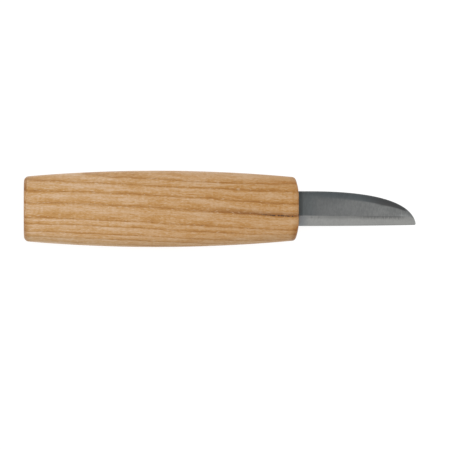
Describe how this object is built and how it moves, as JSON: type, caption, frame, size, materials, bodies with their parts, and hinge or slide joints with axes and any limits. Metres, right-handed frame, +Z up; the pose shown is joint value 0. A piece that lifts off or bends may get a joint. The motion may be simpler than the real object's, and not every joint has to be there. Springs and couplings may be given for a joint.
{
  "type": "whittling knife",
  "caption": "Fixed-blade whittling knife: short pointed blade with a straight edge and a down-curved spine, bonded into a barrel-shaped wooden handle.",
  "frame": {"origin": "centre of the footprint, on the plane of the handle's lower broad face", "axes": "+X along the knife from the butt to the tip, +Y towards the blade's spine, +Z up through the handle's thickness with the knife lying on one broad face"},
  "size_m": [0.168, 0.0328, 0.022],
  "materials": {
    "handle": "hand-sanded ash, oiled, satin",
    "blade": "carbon steel, ground satin",
    "adhesive": "cured epoxy, amber"
  },
  "bodies": {
    "root": {"handle": "handle", "blade": "blade", "tang_adhesive": "adhesive"}
  },
  "joints": []
}
